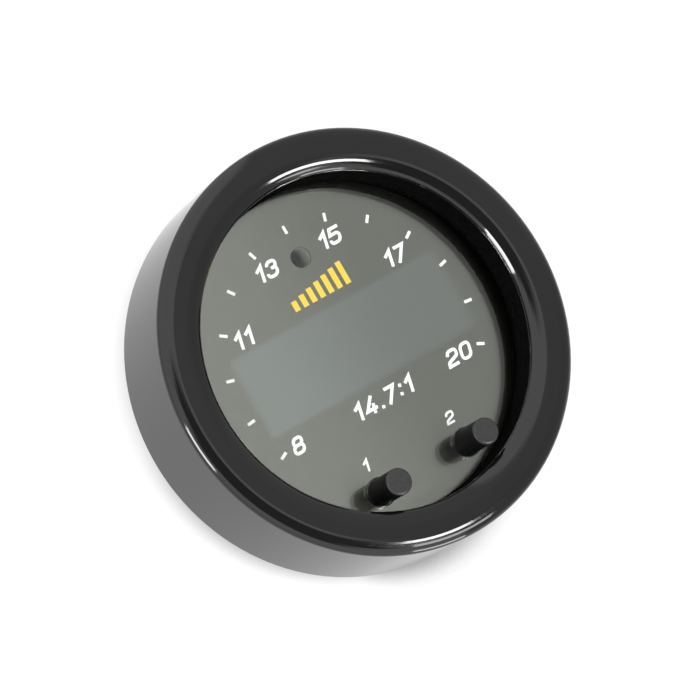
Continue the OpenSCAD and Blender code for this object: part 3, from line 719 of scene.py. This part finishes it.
# The dim figure of the viewer, below and left of straight ahead: its direction, the share of
# light that it leaves, and its reach and soft edge in degrees
VIEWER_WAY, VIEWER_LIGHT = (-0.204, -0.948, -0.255), 0.12
VIEWER_SPREAD, VIEWER_EDGE = 24.0, 8.0
# Oval lamps: the direction from the gauge, width and height, radiance
LAMP_DISTANCE = 0.7
LAMPS = {
    "left_lamp": ((-0.69, -0.72, -0.044), 0.10, 0.24, 24.0),
    "left_edge_lamp": ((-0.91, -0.40, -0.04), 0.10, 0.26, 18.0),
    "low_edge_lamp": ((0.14, -0.13, -0.97), 0.50, 0.12, 7.5),
    "low_lamp": ((0.29, -0.865, -0.375), 0.235, 0.125, 26.0),
    "table_edge_lamp": ((0.32, -0.69, -0.65), 0.24, 0.09, 8.0),
}


def studio_world():
    """A pale studio, brighter above and dimmer to the right behind, with a dim patch for the viewer.

    The camera sees plain white, also through the lens.
    """
    world = bpy.data.worlds.new("studio")
    bpy.context.scene.world = world
    world.use_nodes = True
    world.node_tree.nodes.clear()
    add = node_adder(world.node_tree)
    way = add("TexCoord").outputs["Generated"]
    x, y, z = split(add, way)
    ahead = smooth(add, z, -FRONT_SPAN, FRONT_SPAN, FRONT_LIGHT * (1 - FRONT_RISE),
                   FRONT_LIGHT * (1 + FRONT_RISE))
    on_card = smooth(add, x, CARD_EDGE + CARD_SOFT, CARD_EDGE - CARD_SOFT, 0.0, 1.0)
    front = mixed_level(add, on_card, ahead, CARD_LIGHT)
    near = add("VectorMath", {0: way, 1: VIEWER_WAY}, operation="DOT_PRODUCT").outputs["Value"]
    rim = math.cos(math.radians(VIEWER_SPREAD + VIEWER_EDGE))
    core = math.cos(math.radians(VIEWER_SPREAD))
    front = maths(add, "MULTIPLY", front, smooth(add, near, rim, core, 1.0, VIEWER_LIGHT))
    back = maths(add, "ADD", maths(add, "MULTIPLY", z, BACK_RISE), BACK_LIGHT)
    fall = maths(add, "MULTIPLY", maths(add, "MAXIMUM", x, 0.0), BACK_FALL)
    back = maths(add, "SUBTRACT", back, fall)
    level = mixed_level(add, smooth(add, y, AHEAD_END, BEHIND_START, 0.0, 1.0), front, back)
    path = add("LightPath").outputs
    seen = maths(add, "MAXIMUM", path["Is Camera Ray"], path["Is Transmission Ray"])
    light = add("Background", {"Color": (1, 1, 1, 1), "Strength": mixed_level(add, seen, level, 1.0)})
    add("OutputWorld", {"Surface": light.outputs["Background"]})


def soft_lamp(name, towards, width, height, radiance):
    """An oval lamp of even radiance that lies in that direction from the gauge and faces it."""
    way = Vector(towards).normalized()
    lamp = bpy.data.lights.new(name, "AREA")
    lamp.shape = "ELLIPSE"
    lamp.size, lamp.size_y = width, height
    area = width * height * math.pi / 4
    lamp.energy = radiance * math.pi * area
    obj = bpy.data.objects.new(name, lamp)
    bpy.context.scene.collection.objects.link(obj)
    obj.location = way * LAMP_DISTANCE
    obj.rotation_euler = (-way).to_track_quat("-Z", "Y").to_euler()


studio_world()
for name, lamp_look in LAMPS.items():
    soft_lamp(name, *lamp_look)

# Camera

# Its place, its turn about X, Y and Z in degrees, and its focal length and the photo's side in
# pixels of the photo
CAMERA_PLACE = (-0.21488, -0.47022, -0.01914)
CAMERA_TURN = (92.5164, 30.3002, -23.6842)
FOCAL_PIXELS, PHOTO_PIXELS = 3713.27, 700
SENSOR_WIDTH = 36.0
NEAR_CLIP, FAR_CLIP = 0.01, 20.0


def photo_camera():
    """The camera that the photograph was taken with, as fitted to the outlines of the bezel."""
    data = bpy.data.cameras.new("photo_camera")
    data.sensor_width = SENSOR_WIDTH
    data.lens = FOCAL_PIXELS / PHOTO_PIXELS * SENSOR_WIDTH
    data.clip_start, data.clip_end = NEAR_CLIP, FAR_CLIP
    obj = bpy.data.objects.new("photo_camera", data)
    bpy.context.scene.collection.objects.link(obj)
    obj.location = CAMERA_PLACE
    obj.rotation_euler = [math.radians(angle) for angle in CAMERA_TURN]
    bpy.context.scene.camera = obj


photo_camera()
bpy.context.scene.view_settings.view_transform = "Standard"
